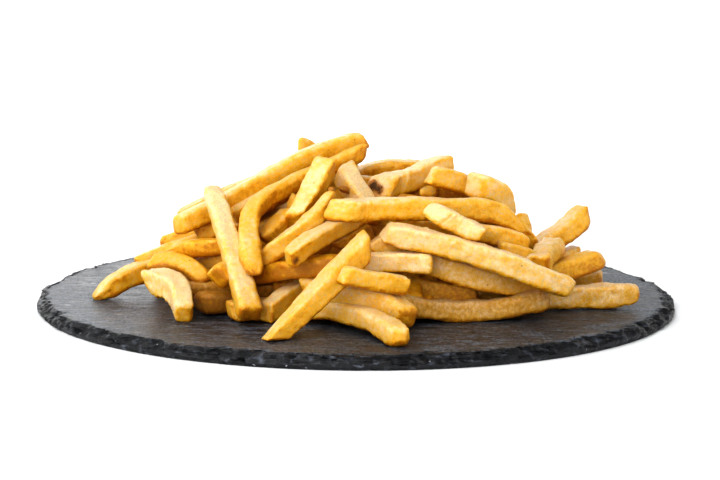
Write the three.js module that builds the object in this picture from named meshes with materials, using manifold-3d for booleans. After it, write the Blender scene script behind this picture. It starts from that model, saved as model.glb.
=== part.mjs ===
// A portion of French fries heaped on a round slate board.
// Millimetres, +Z up. The origin is the centre of the board's flat underside, X runs across the heap and
// -Y is its front. There are two solids: the board, and the heap, whose fries are fused to each other and
// to a core.
import * as THREE from "three";
import { mergeVertices } from "three/addons/utils/BufferGeometryUtils.js";
import Module from "manifold-3d";

const wasm = await Module();
wasm.setup();

// ---------- the board: split slate, its rim chipped back from the top face ----------
const BOARD_DIAMETER = 300;
const BOARD_THICKNESS = 6;
const RIM_SIDES = 120;
const RIM_SLOPE = 3.4; // how far the top edge stands back from the widest level
const CHIP_DEPTH = 3; // how much deeper a chip bites than the plain slope
const UNDERSIDE_BEVEL = 1.2;
// The chips: broad shells where two waves round the rim meet, and small nicks between them.
const SHELL_WAVES = [
  { count: 11, phase: 0.7 },
  { count: 7, phase: 2.1 },
];
const NICK_WAVE = { count: 29, phase: 1.3 };
const NICK_SHARE = 0.35;
const CHIP_FADE = 5; // how quickly the chips set in beside the four ends of the axes
// The rim's levels from the top face down: height over thickness, and the share of slope and of chip.
const RIM_LEVELS = [
  { height: 1, slope: 1, chip: 1 },
  { height: 0.68, slope: 0.45, chip: 0.8 },
  { height: 0.3, slope: 0, chip: 0.25 },
  { height: 0, slope: UNDERSIDE_BEVEL / RIM_SLOPE, chip: 0 },
];

// ---------- the fries ----------
const CONTACT_GAP = 0.3; // between the heap and the board
const HEAP_FOOT = BOARD_THICKNESS + CONTACT_GAP;
const FRY_SIDES = 8;
const SQUARENESS = 0.62; // power that flattens a round section: 1 is round, 0 is square
const BLUNT_END = { length: 2.2, size: 0.76 }; // how far it narrows, and its size at the very end
const POINTED_END = { length: 15, size: 0.34 };
const PLAIN_END = { length: 0, size: 1 };
const BENDS_PER_POINT = 1; // rows of corners for each inner point of a path
const BEND_ROOM = 3; // least distance between a bend's row and an end's
const FUSING = 0.55; // how much further each side stands out, so that fries that touch are one body

// ---------- working values ----------
const RIGHT_ANGLE = Math.PI / 2;
const MERGE_DISTANCE = 1e-5; // corners nearer than this are one corner
const AXIS_REACH = 0.5; // on a cylinder of radius 1, corners nearer the axis than this are on it
const DRAW_FACTOR = 16807; // a draw's state is the last one times this, less whole limits
const DRAW_LIMIT = 2147483647;

// The fries that show from the front, laid one by one: thickness at the start and the end of the fry, the
// path of its axis, the turn of its section in degrees, and which of its ends is pointed.
const LAID_FRIES = [
  // crown: two long fries that cross the top, and the short ones round them
  { thick: [9.6, 9.2], path: [[-81, -38, 42], [-56, -30, 53], [-26, -20, 69], [-8, -14, 76], [4, -10, 79]] },
  { thick: [8.5, 8.5], path: [[-81, -29, 43], [-66, -24, 50], [-46, -19, 58], [-22, -11, 64]] },
  { thick: [8.4, 10], pointed: "end",
    path: [[3, -22, 75], [-26, -36, 63], [-42, -50, 56], [-47, -60, 50], [-47, -72, 41], [-45, -85, 29]] },
  { thick: [9, 9], path: [[-28, -2, 76], [4, 12, 57]] },
  { thick: [10.4, 9.6], path: [[-14, -46, 72], [-30, -62, 46]], turn: 20 },
  { thick: [9, 9], path: [[-8, -28, 62], [2, -42, 47]] },
  { thick: [8.6, 8.6], path: [[-5, -36, 70], [4, -45, 56], [12, -50, 46]] },
  { thick: [9, 9], path: [[-8, 0, 50], [7, 2, 62], [21, 4, 64], [40, 8, 61]] },
  { thick: [9.6, 9.4], path: [[8, -35, 59], [24, -29, 62], [35, -24, 67], [46, -18, 70]] },
  { thick: [9.6, 10], path: [[32, -40, 66], [41, -37, 64], [49, -33, 61], [62, -28, 55]] },
  { thick: [11, 10], path: [[51, -42, 62], [59, -39, 60], [66, -34, 55], [71, -27, 43]] },
  { thick: [9, 9], path: [[18, -46, 55], [62, -40, 50]] },
  { thick: [5, 6], path: [[-27, -44, 58], [-30, -46, 47]] },
  // middle: the long fries that lie across the front
  { thick: [10.2, 9.4], pointed: "end",
    path: [[-13, -74, 54], [19, -68, 54], [41, -62, 53], [60, -54, 51], [76, -47, 44]] },
  { thick: [10.4, 9.6], path: [[-27, -92, 37], [-19, -84, 42], [-8, -68, 46], [2, -57, 50]] },
  { thick: [8.4, 9], pointed: "start",
    path: [[-11, -60, 62], [-19, -66, 51], [-30, -71, 42], [-43, -71, 31]] },
  { thick: [9, 9.5], path: [[-29, -49, 49], [-42, -60, 38]] },
  { thick: [9, 9], path: [[-12, -65, 37], [6, -53, 42]], pointed: "start" },
  { thick: [9.5, 9.5], path: [[-46, -64, 24], [-26, -77, 29], [-6, -82, 32]] },
  { thick: [9.6, 8], path: [[30, -73, 56], [44, -74, 49], [56, -76, 44]] },
  { thick: [9, 8.4], path: [[51, -58, 43], [67, -54, 40], [77, -50, 35]] },
  { thick: [8.6, 8.6], path: [[62, -63, 36], [78, -55, 30]] },
  { thick: [9, 9], path: [[14, -50, 44], [54, -42, 41]] },
  { thick: [9.6, 10], path: [[12, -76, 46], [36, -79, 41], [63, -79, 33], [81, -75, 25], [95, -67, 18]] },
  { thick: [9.5, 10], pointed: "end",
    path: [[6, -73, 42], [19, -71, 36], [50, -72, 26], [64, -68, 22], [80, -59, 17]] },
  { thick: [8.4, 8.4], path: [[2, -78, 32], [33, -83, 33]] },
  // foot of the front
  { thick: [10.6, 11.2], path: [[-36, -120, 8], [5, -92, 44]], pointed: "start" },
  { thick: [9, 9], path: [[-38, -85, 12], [-24, -70, 19], [-12, -55, 26]] },
  { thick: [8.6, 7.8], path: [[-6, -110, 32], [6, -105, 29], [23, -98, 25]] },
  { thick: [9.4, 10], path: [[-22, -80, 21], [6, -96, 20], [18, -101, 16], [23, -106, 13]] },
  { thick: [9, 10.4], path: [[-24, -77, 12], [-7, -90, 13], [6, -106, 13], [15, -121, 11], [19, -131, 11]] },
  { thick: [9, 9], path: [[-56, -80, 11], [-29, -73, 11]] },
  { thick: [8, 8], path: [[-46, -64, 16], [-20, -61, 15]] },
  { thick: [11, 9.5], path: [[-72, -68, 12], [-44, -63, 11]] },
  { thick: [10, 9], path: [[-62, -80, 25], [-46, -50, 26]], turn: 40 },
  { thick: [8, 8], path: [[-82, -58, 15], [-54, -53, 16]] },
  { thick: [8.5, 8.5],
    path: [[14, -88, 17], [28, -81, 13], [41, -77, 11], [59, -75, 11], [75, -70, 13], [85, -64, 14]] },
  { thick: [9, 8], path: [[14, -64, 22], [37, -68, 18], [53, -66, 16]] },
  { thick: [8, 8], path: [[51, -60, 15], [72, -54, 15]] },
  // left side
  { thick: [7.6, 9.6], path: [[-66, -40, 60], [-57, -62, 42], [-45, -91, 13]] },
  { thick: [9, 9], path: [[-56, -37, 46], [-36, -31, 56]] },
  { thick: [7, 9], pointed: "start",
    path: [[-122, -31, 9], [-112, -26, 12], [-99, -18, 17], [-76, -8, 18]] },
  { thick: [9, 9], path: [[-106, -12, 21], [-92, -13, 26], [-73, -17, 32], [-58, -22, 38]] },
  { thick: [8, 8.5], path: [[-92, 0, 27], [-60, -8, 38]] },
  { thick: [9, 9], path: [[-73, -28, 36], [-60, -31, 41]] },
  { thick: [8, 9.6], path: [[-87, -36, 29], [-76, -41, 32], [-46, -53, 36]], pointed: "start" },
  { thick: [9.6, 9.6], path: [[-94, -42, 25], [-81, -45, 27], [-72, -49, 25], [-65, -53, 20]], turn: 45 },
  { thick: [9.6, 9], path: [[-93, -60, 20], [-84, -66, 17], [-78, -74, 13], [-75, -83, 9]] },
  { thick: [9, 9], path: [[-72, -35, 22], [-54, -47, 27]] },
  // right side
  { thick: [7.6, 8.6], path: [[74, -38, 48], [77, -40, 40], [80, -39, 30]] },
  { thick: [9.6, 10.6], path: [[76, -25, 27], [97, -15, 37], [108, -10, 43]] },
  { thick: [10.2, 10.2], path: [[80, -68, 32], [94, -32, 33]] },
  { thick: [8, 8], path: [[84, -30, 21], [104, -11, 26]] },
  { thick: [10, 10.6], path: [[82, -47, 21], [103, -36, 25], [115, -29, 28]] },
  { thick: [8.6, 8], path: [[78, -27, 13], [115, -22, 16]] },
  { thick: [10.8, 10.8], path: [[82, -47, 12], [107, -44, 12], [130, -42, 13]] },
];

// ---------- the rest of the heap: fries strewn over a core, each resting on the ones before it ----------
// The envelope of the heap: a mound, its reach to the sides, the front and the rear, and its height.
const MOUND = { centre: [-5, -20], across: 98, front: 72, rear: 96, height: 58, fullness: 2.3 };
const STREWN_TRIES = 330;
const STREWN_FRONT = -56; // they stay behind this, so that the laid fries alone make the front
const STREWN_SIDES = [-96, 102];
const STREWN_ASTRAY = 75; // how far a fry may turn away from the ring round the centre
const STREWN_LENGTH = [46, 82];
const STREWN_THICK = [8.6, 10.6];
const STREWN_SAG = [-2, 3];
const PRESS = 2.4; // how far two fries may press into each other
const LIFT_STEP = 1;
const POKE_OUT = 4; // how far a fry's middle may lie above the envelope
const REST_SPACING = 8; // between the places along a fry where its rest is tested
const SEED = 7331;
const CORE_SINK = 22; // how far the core's top and sides lie inside the envelope
const CORE_FRONT_INSET = 15;
const CORE_SIDES = 32;
const CORE_ROWS = 8;

// A seeded draw between two numbers.
let state = SEED;
function draw(low, high) {
  state = (state * DRAW_FACTOR) % DRAW_LIMIT;
  return low + ((high - low) * state) / DRAW_LIMIT;
}

// The height of the mound over a point of the board.
function moundHeight(x, y) {
  const across = (x - MOUND.centre[0]) / MOUND.across;
  const deep = (y - MOUND.centre[1]) / (y < MOUND.centre[1] ? MOUND.front : MOUND.rear);
  const share = Math.min(1, Math.hypot(across, deep));
  return BOARD_THICKNESS + MOUND.height * (1 - share ** MOUND.fullness);
}

function pathCurve(path) {
  const points = path.map((point) => new THREE.Vector3(...point));
  if (points.length === 2) {
    return new THREE.LineCurve3(points[0], points[1]);
  }
  return new THREE.CatmullRomCurve3(points, false, "centripetal");
}

// Places along the straight stretches between a path's points.
function placesAlong(path) {
  const places = [new THREE.Vector3(...path[0])];
  for (let index = 1; index < path.length; index += 1) {
    const from = new THREE.Vector3(...path[index - 1]);
    const to = new THREE.Vector3(...path[index]);
    const steps = Math.ceil(from.distanceTo(to) / REST_SPACING);
    for (let step = 1; step <= steps; step += 1) {
      places.push(from.clone().lerp(to, step / steps));
    }
  }
  return places;
}

// A fry that lies still keeps the places where others may rest on it.
function lay(fry) {
  return { ...fry, restPoints: placesAlong(fry.path) };
}

// The depth to which a fry presses into the fries laid before it.
function pressure(fry, laid) {
  let worst = -Infinity;
  const points = placesAlong(fry.path);
  for (const other of laid) {
    const reach = (fry.thick[0] + other.thick[0]) / 2;
    for (const point of points) {
      for (const near of other.restPoints) {
        worst = Math.max(worst, reach - point.distanceTo(near));
      }
    }
  }
  return worst;
}

// A fry lying somewhere round the rear of the core.
function strewnFry() {
  const around = THREE.MathUtils.degToRad(draw(0, 360));
  const reach = Math.sqrt(draw(0.01, 1.1));
  const deep = Math.sin(around) < 0 ? MOUND.front : MOUND.rear;
  const x = MOUND.centre[0] + MOUND.across * reach * Math.cos(around);
  const y = MOUND.centre[1] + deep * reach * Math.sin(around);
  const heading = around + THREE.MathUtils.degToRad(90 + STREWN_ASTRAY * draw(-1, 1));
  const half = draw(...STREWN_LENGTH) / 2;
  const thick = draw(...STREWN_THICK);
  const sag = draw(...STREWN_SAG);
  const path = [-1, 0, 1].map((side) => {
    const px = x + side * half * Math.cos(heading);
    const py = y + side * half * Math.sin(heading);
    const rise = side === 0 ? sag : 0;
    return [px, py, Math.max(moundHeight(px, py) - CORE_SINK, BOARD_THICKNESS) + thick / 2 + rise];
  });
  return { thick: [thick, thick], path, plain: true };
}

function staysInside(fry) {
  return fry.path.every(([x, y]) => y > STREWN_FRONT && x > STREWN_SIDES[0] && x < STREWN_SIDES[1]);
}

// The laid fries, and after them the ones strewn over the core, each lifted until it rests on what already
// lies there. One that would stand out of the envelope is left out.
function allFries() {
  const laid = LAID_FRIES.map(lay);
  for (let index = 0; index < STREWN_TRIES; index += 1) {
    const fry = strewnFry();
    const middle = fry.path[1];
    const highest = moundHeight(middle[0], middle[1]) + POKE_OUT;
    while (middle[2] < highest && pressure(fry, laid) > PRESS) {
      fry.path.forEach((point) => {
        point[2] += LIFT_STEP;
      });
    }
    if (middle[2] < highest && staysInside(fry)) {
      laid.push(lay(fry));
    }
  }
  return laid;
}

// A closed geometry as a solid that can be joined and cut.
function toSolid(geometry) {
  const bare = geometry.clone();
  bare.deleteAttribute("normal");
  bare.deleteAttribute("uv");
  const merged = mergeVertices(bare, MERGE_DISTANCE);
  return new wasm.Manifold(
    new wasm.Mesh({
      numProp: 3,
      vertProperties: new Float32Array(merged.attributes.position.array),
      triVerts: new Uint32Array(merged.index.array),
    }),
  );
}

function toGeometry(solid) {
  const mesh = solid.getMesh();
  const geometry = new THREE.BufferGeometry();
  geometry.setAttribute("position", new THREE.BufferAttribute(new Float32Array(mesh.vertProperties), 3));
  geometry.setIndex(new THREE.BufferAttribute(new Uint32Array(mesh.triVerts), 1));
  geometry.computeVertexNormals();
  return geometry;
}

function tipSize(distance, end) {
  return distance >= end.length ? 1 : THREE.MathUtils.lerp(end.size, 1, distance / end.length);
}

// Where a fry has a row of corners, as distances from its start: at its ends, where they begin to narrow,
// and in its bends.
function rowDistances(length, bends, startEnd, lastEnd) {
  const first = startEnd.length;
  const last = length - lastEnd.length;
  const between = [];
  for (let row = 1; row <= bends; row += 1) {
    between.push((length * row) / (bends + 1));
  }
  const inner = between.filter((distance) => distance > first + BEND_ROOM && distance < last - BEND_ROOM);
  return [...new Set([0, first, ...inner, last, length])];
}

// A cosine or sine moved out towards the sides of a square.
function squarish(value) {
  return Math.sign(value) * Math.abs(value) ** SQUARENESS;
}

// A fry: a squarish bar that follows its path and narrows at its ends.
function fryGeometry({ thick, path, turn = 0, pointed = "", plain = false }) {
  const curve = pathCurve(path);
  const length = curve.getLength();
  const endShape = plain ? PLAIN_END : BLUNT_END;
  const startEnd = pointed === "start" ? POINTED_END : endShape;
  const lastEnd = pointed === "end" ? POINTED_END : endShape;
  const distances = rowDistances(length, BENDS_PER_POINT * (path.length - 2), startEnd, lastEnd);
  const geometry = new THREE.CylinderGeometry(1, 1, 1, FRY_SIDES, distances.length - 1);
  const position = geometry.attributes.position;
  const halfWidth = Math.cos(Math.PI / FRY_SIDES) ** SQUARENESS;
  for (let index = 0; index < position.count; index += 1) {
    const row = Math.round((0.5 - position.getY(index)) * (distances.length - 1));
    const distance = distances[row];
    const share = distance / length;
    const centre = curve.getPointAt(share);
    const along = curve.getTangentAt(share);
    const side = new THREE.Vector3().crossVectors(along, new THREE.Vector3(0, 0, 1)).normalize();
    const up = new THREE.Vector3().crossVectors(side, along);
    const tip = tipSize(distance, startEnd) * tipSize(length - distance, lastEnd);
    const half = (THREE.MathUtils.lerp(thick[0], thick[1], share) / 2 + FUSING) * (tip / halfWidth);
    const onAxis = Math.hypot(position.getX(index), position.getZ(index)) < AXIS_REACH;
    const angle = Math.atan2(position.getX(index), position.getZ(index)) + Math.PI / FRY_SIDES;
    const across = onAxis ? 0 : half * squarish(Math.cos(angle));
    const over = onAxis ? 0 : half * squarish(Math.sin(angle));
    const spin = THREE.MathUtils.degToRad(turn);
    const sideways = across * Math.cos(spin) - over * Math.sin(spin);
    const upwards = across * Math.sin(spin) + over * Math.cos(spin);
    centre.addScaledVector(side, sideways).addScaledVector(up, upwards);
    position.setXYZ(index, centre.x, centre.y, centre.z);
  }
  return geometry;
}

// The core: the mound sunk below its fries, turned round its centre and stretched to its front and rear.
function coreGeometry() {
  const height = MOUND.height - CORE_SINK;
  const outline = [new THREE.Vector2(0, 0), new THREE.Vector2(1, 0)];
  for (let row = 1; row <= CORE_ROWS; row += 1) {
    const share = 1 - row / CORE_ROWS;
    outline.push(new THREE.Vector2(share, height * (1 - share ** MOUND.fullness)));
  }
  const geometry = new THREE.LatheGeometry(outline, CORE_SIDES);
  geometry.rotateX(RIGHT_ANGLE);
  const position = geometry.attributes.position;
  for (let index = 0; index < position.count; index += 1) {
    const deep = position.getY(index) < 0 ? MOUND.front - CORE_FRONT_INSET : MOUND.rear - CORE_SINK;
    const x = MOUND.centre[0] + position.getX(index) * (MOUND.across - CORE_SINK);
    const y = MOUND.centre[1] + position.getY(index) * deep;
    position.setXYZ(index, x, y, BOARD_THICKNESS + position.getZ(index));
  }
  return geometry;
}

// The heap: every fry fused to the core, cut off just above the board. Only the one large body is kept.
function heapGeometry() {
  let heap = toSolid(coreGeometry());
  for (const fry of allFries()) {
    heap = heap.add(toSolid(fryGeometry(fry)));
  }
  const below = new THREE.BoxGeometry(2 * BOARD_DIAMETER, 2 * BOARD_DIAMETER, BOARD_DIAMETER);
  below.translate(0, 0, HEAP_FOOT - BOARD_DIAMETER / 2);
  const bodies = heap.subtract(toSolid(below)).decompose();
  bodies.sort((one, other) => other.volume() - one.volume());
  return toGeometry(bodies[0]);
}

function waveAt(angle, { count, phase }) {
  return Math.abs(Math.sin(count * angle + phase));
}

// How deep the rim is chipped at an angle. The chips fade out at the four ends of the axes.
function chipAt(angle) {
  const shells = waveAt(angle, SHELL_WAVES[0]) * waveAt(angle, SHELL_WAVES[1]);
  const nicks = waveAt(angle, NICK_WAVE) * NICK_SHARE;
  const fade = Math.min(1, Math.abs(Math.sin(2 * angle)) * CHIP_FADE);
  return CHIP_DEPTH * Math.min(1, shells + nicks) * fade;
}

// The board: a flat disc whose rim steps back from its widest level to the top face.
function boardGeometry() {
  const rows = RIM_LEVELS.length - 1;
  const geometry = new THREE.CylinderGeometry(1, 1, 1, RIM_SIDES, rows);
  geometry.rotateX(RIGHT_ANGLE);
  const position = geometry.attributes.position;
  for (let index = 0; index < position.count; index += 1) {
    const level = RIM_LEVELS[Math.round((0.5 - position.getZ(index)) * rows)];
    const angle = Math.atan2(position.getY(index), position.getX(index));
    const onAxis = Math.hypot(position.getX(index), position.getY(index)) < AXIS_REACH;
    const setBack = RIM_SLOPE * level.slope + chipAt(angle) * level.chip;
    const radius = onAxis ? 0 : BOARD_DIAMETER / 2 - setBack;
    const height = level.height * BOARD_THICKNESS;
    position.setXYZ(index, radius * Math.cos(angle), radius * Math.sin(angle), height);
  }
  return toGeometry(toSolid(geometry));
}

function pieceOf(name, geometry, color, roughness) {
  const material = new THREE.MeshStandardMaterial({ color, roughness, metalness: 0 });
  const mesh = new THREE.Mesh(geometry, material);
  mesh.name = name;
  return mesh;
}

const portion = new THREE.Group();
portion.add(pieceOf("slate_board", boardGeometry(), 0x2f3136, 0.75));
portion.add(pieceOf("fries_heap", heapGeometry(), 0xe3a843, 0.5));
export default portion;
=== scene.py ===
# A portion of French fries heaped on a round slate board: its looks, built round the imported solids.
# Metres, +Z up. The origin is the centre of the board's underside, and -Y is the front of the heap. The
# fries are laid out in millimetres, as a cook would measure them, and brought to metres as they are made.
import math
import random

import bmesh
import bpy
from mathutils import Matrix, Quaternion, Vector, noise


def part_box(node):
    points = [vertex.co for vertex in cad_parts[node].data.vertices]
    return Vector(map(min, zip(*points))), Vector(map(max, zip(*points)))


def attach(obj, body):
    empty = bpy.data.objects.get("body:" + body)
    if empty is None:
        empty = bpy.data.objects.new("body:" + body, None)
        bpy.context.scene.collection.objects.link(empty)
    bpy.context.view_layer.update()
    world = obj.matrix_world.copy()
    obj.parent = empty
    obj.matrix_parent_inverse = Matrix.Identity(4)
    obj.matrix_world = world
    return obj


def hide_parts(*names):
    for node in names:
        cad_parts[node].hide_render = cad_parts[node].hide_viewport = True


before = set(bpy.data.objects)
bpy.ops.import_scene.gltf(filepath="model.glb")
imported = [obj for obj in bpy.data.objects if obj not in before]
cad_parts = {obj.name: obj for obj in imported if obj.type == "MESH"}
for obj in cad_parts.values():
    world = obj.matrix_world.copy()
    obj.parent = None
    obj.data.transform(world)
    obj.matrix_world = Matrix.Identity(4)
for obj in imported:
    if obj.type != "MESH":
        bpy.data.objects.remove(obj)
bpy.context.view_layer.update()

# ---------- camera ----------
# A long lens low in front of the board, turned by a trace so that the board's right side lies lower. It
# looks at the middle of the board, a little above its face.
CAMERA_PLACE = Vector((0, -0.9, 0.1691))
CAMERA_AIM = Vector((0.0017, 0, 0.0299))
CAMERA_ROLL = 0.007

camera = bpy.data.objects.new("camera", bpy.data.cameras.new("camera"))
camera.data.lens = 96
camera.data.sensor_width = 36
camera.location = CAMERA_PLACE
camera_turn = (CAMERA_AIM - CAMERA_PLACE).to_track_quat("-Z", "Y") @ Quaternion((0, 0, 1), CAMERA_ROLL)
camera.rotation_euler = camera_turn.to_euler()
bpy.context.scene.collection.objects.link(camera)
bpy.context.scene.camera = camera

# ---------- floor and light ----------
# A plain pale floor in a white surround, lit by large soft lamps: the strongest stands in front on the left,
# weaker ones at the sides, above and behind, and a faint wide sun adds to them. The floor glows more with
# the distance from the board, and the surround glows most along its horizon, so that both fade to white.
FLOOR_SIZE = 12
LAMPS = [  # the name, the place, the width, the power
    ("overhead_softbox", (-0.3, -0.1, 1.1), 1.2, 2.3),
    ("front_softbox", (-0.5, -1.2, 0.85), 1.2, 12.2),
    ("left_softbox", (-1.5, -0.4, 0.8), 1, 5.2),
    ("right_softbox", (1.5, -0.3, 0.8), 1, 2.6),
    ("rear_softbox", (-0.5, 1.5, 0.6), 1.5, 6),
]
SURROUND_COLOUR = (1, 1, 0.99, 1)
HORIZON_GLOW = 1.05
HORIZON_TOP = 0.22  # the sine of the height where the glow starts to fade
ZENITH_GLOW = 0.15
ZENITH_START = 0.55
DAYLIGHT_TURN = (math.radians(24), math.radians(-14), 0)
DAYLIGHT_STRENGTH = 0.3
DAYLIGHT_SPREAD = math.radians(35)


class Finish:
    """A material, or a node group, under construction: short calls that add a node and give its output."""

    def __init__(self, tree):
        self.tree = tree

    def feed(self, socket, source):
        if isinstance(source, bpy.types.NodeSocket):
            self.tree.links.new(source, socket)
        else:
            socket.default_value = source

    def add(self, kind, sources=None, **settings):
        """A new node: its settings, then what goes into its sockets, by name or number."""
        made = self.tree.nodes.new(kind)
        for key, value in settings.items():
            setattr(made, key, value)
        for socket, source in (sources or {}).items():
            self.feed(made.inputs[socket], source)
        return made

    def attribute(self, name, part="Fac"):
        return self.add("ShaderNodeAttribute", attribute_name=name).outputs[part]

    def math(self, operation, first, second=0.0, clamp=False):
        sources = {0: first, 1: second}
        return self.add("ShaderNodeMath", sources, operation=operation, use_clamp=clamp).outputs[0]

    def stretched(self, vector, scale, place=(0, 0, 0)):
        return self.add("ShaderNodeMapping", {0: vector, "Scale": scale, "Location": place}).outputs[0]

    def noise(self, vector, scale, detail=3.0, roughness=0.55):
        sources = {"Vector": vector, "Scale": scale, "Detail": detail, "Roughness": roughness}
        return self.add("ShaderNodeTexNoise", sources).outputs["Fac"]

    def cells(self, vector, scale, feature="F1"):
        sources = {"Vector": vector, "Scale": scale}
        return self.add("ShaderNodeTexVoronoi", sources, feature=feature).outputs["Distance"]

    def span(self, value, low, high, to_low=0.0, to_high=1.0):
        sources = dict(enumerate((value, low, high, to_low, to_high)))
        return self.add("ShaderNodeMapRange", sources, clamp=True).outputs[0]

    def mix(self, share, first, second):
        sources = {"Factor": share, "A": first, "B": second}
        return self.add("ShaderNodeMix", sources, data_type="RGBA").outputs["Result"]

    def scaled(self, vector, factor):
        return self.add("ShaderNodeVectorMath", {0: vector, "Scale": factor}, operation="SCALE").outputs[0]

    def length(self, vector):
        return self.add("ShaderNodeVectorMath", {0: vector}, operation="LENGTH").outputs["Value"]

    def bump(self, height, strength, distance):
        sources = {"Strength": strength, "Distance": distance, "Height": height}
        return self.add("ShaderNodeBump", sources).outputs["Normal"]

    def ramp(self, value, stops):
        made = self.add("ShaderNodeValToRGB", {"Fac": value})
        made.color_ramp.elements.remove(made.color_ramp.elements[1])
        for index, (place, colour) in enumerate(stops):
            stop = made.color_ramp.elements[0] if index == 0 else made.color_ramp.elements.new(place)
            stop.position = place
            stop.color = colour
        return made.outputs["Color"]


def new_finish(name):
    material = bpy.data.materials.new(name)
    material.use_nodes = True
    return material, material.node_tree.nodes["Principled BSDF"], Finish(material.node_tree)


world = bpy.data.worlds.new("white_surround")
world.use_nodes = True
surround = world.node_tree.nodes["Background"]
surround.inputs["Color"].default_value = SURROUND_COLOUR
surround_kit = Finish(world.node_tree)
way = surround_kit.add("ShaderNodeTexCoord").outputs["Generated"]
height = surround_kit.add("ShaderNodeSeparateXYZ", {0: way}).outputs["Z"]
surround_glow = surround_kit.span(height, HORIZON_TOP, ZENITH_START, HORIZON_GLOW, ZENITH_GLOW)
surround_kit.feed(surround.inputs["Strength"], surround_glow)
bpy.context.scene.world = world
bpy.context.scene.view_settings.view_transform = "Standard"
bpy.context.scene.view_settings.look = "High Contrast"

for name, place, width, power in LAMPS:
    light = bpy.data.lights.new(name, "AREA")
    light.size = width
    light.energy = power
    holder = bpy.data.objects.new(name, light)
    holder.location = place
    holder.rotation_euler = (-Vector(place)).to_track_quat("-Z", "Y").to_euler()
    bpy.context.scene.collection.objects.link(holder)
daylight = bpy.data.lights.new("daylight", "SUN")
daylight.energy = DAYLIGHT_STRENGTH
daylight.angle = DAYLIGHT_SPREAD
sun = bpy.data.objects.new("daylight", daylight)
sun.rotation_euler = DAYLIGHT_TURN
bpy.context.scene.collection.objects.link(sun)


def finished_object(name, mesh, material):
    """An object at the origin, its place in its mesh, smooth and of one material."""
    mesh.polygons.foreach_set("use_smooth", [True] * len(mesh.polygons))
    mesh.materials.append(material)
    made = bpy.data.objects.new(name, mesh)
    bpy.context.scene.collection.objects.link(made)
    return made


FLOOR_COLOUR = (0.86, 0.87, 0.88, 1)
FLOOR_GLOW_NEAR = 0.08
FLOOR_GLOW_FAR = 0.9
GLOW_START = 0.3  # metres from the middle of the board
GLOW_FULL = 1.2

floor_finish, floor_shader, floor_kit = new_finish("pale_floor")
floor_shader.inputs["Base Color"].default_value = FLOOR_COLOUR
floor_shader.inputs["Roughness"].default_value = 0.8
floor_shader.inputs["Emission Strength"].default_value = 1
floor_reach = floor_kit.length(floor_kit.add("ShaderNodeTexCoord").outputs["Object"])
floor_glow = floor_kit.span(floor_reach, GLOW_START, GLOW_FULL, FLOOR_GLOW_NEAR, FLOOR_GLOW_FAR)
floor_kit.feed(floor_shader.inputs["Emission Color"], floor_glow)
floor_shape = bmesh.new()
bmesh.ops.create_grid(floor_shape, x_segments=1, y_segments=1, size=FLOOR_SIZE / 2)
floor_mesh = bpy.data.meshes.new("floor")
floor_shape.to_mesh(floor_mesh)
floor_shape.free()
floor = finished_object("floor", floor_mesh, floor_finish)

# ---------- slate board ----------
# A round board split from dark slate and knapped to shape: its top is a smooth cleft face with a fine grain
# along X, and its rim slopes outwards and down, flaked into shells and thin broken layers. The ridges between
# the flake scars are painted paler and bluish, partly rubbed stone and partly a painted highlight.
MM = 0.001
board_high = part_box("slate_board")[1]
BOARD_RADIUS = board_high.x
BOARD_TOP = board_high.z
RIM_STEPS = 900
TOP_RINGS = 56
RIM_ROWS = 20
# The rim's slope: a level as a share of the height, how far it lies inside the radius in mm, and how much of
# the large chips' depth it takes.
RIM_LEVELS = [(1, 3.4, 1), (0.68, 1.53, 0.8), (0.3, 0, 0.25), (0, 1.2, 0)]
TOP_EDGE = BOARD_RADIUS - RIM_LEVELS[0][1] * MM
CHIP_DEPTH = 3
BREAK_LEVEL = 1.3  # mm of the broken relief that lie outside the plain slope
FLAKE_SIZE = 7.5  # mm across a flake scar, and its depth
FLAKE_DEPTH = 2.2
SPLINTER_SIZE = 2.8
SPLINTER_DEPTH = 1.1
LAYER_HEIGHT = 0.8  # of the broken layers that stand out of the rim
LAYER_DEPTH = 0.55
CLEFT_RELIEF = 0.22
CLEFT_DEEPEST = 0.45
CLEFT_STEPS = 4


def rim_profile():
    """Radius and height down from the middle of the top, over the rim, to the middle of the underside."""
    rings = [TOP_EDGE * (1 - (1 - ring / TOP_RINGS) ** 1.7) for ring in range(TOP_RINGS)]
    points = [(radius, BOARD_TOP) for radius in rings]
    for row in range(RIM_ROWS + 1):
        level = 1 - row / RIM_ROWS
        points.append((BOARD_RADIUS - rim_set_back(level, 0) * MM, BOARD_TOP * level))
    return points + [(0.5 * BOARD_RADIUS, 0), (0, 0)]


def rim_set_back(level, chip):
    """How far the rim lies inside the board's radius at one level of its height, in mm."""
    for (high, high_back, high_share), (low, low_back, low_share) in zip(RIM_LEVELS, RIM_LEVELS[1:]):
        if level >= low:
            mix = (level - low) / (high - low)
            return high_back * mix + low_back * (1 - mix) + chip * (high_share * mix + low_share * (1 - mix))
    return RIM_LEVELS[-1][1]


def chip_at(angle):
    """The depth of the large chips round the rim, in mm; none where the board is widest."""
    shells = abs(math.sin(11 * angle + 0.7)) * abs(math.sin(7 * angle + 2.1))
    nicks = 0.35 * abs(math.sin(29 * angle + 1.3))
    return CHIP_DEPTH * min(1, shells + nicks) * min(1, 5 * abs(math.sin(2 * angle)))


def scar(spot, size):
    """A hollow with sharp edges, one of a field of them: its depth from 0 to 1, and a number of its own."""
    near, centres = noise.voronoi(spot / size)
    return max(0, 1 - 1.6 * near[0] ** 2), noise.cell(centres[0] * 31)


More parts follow.
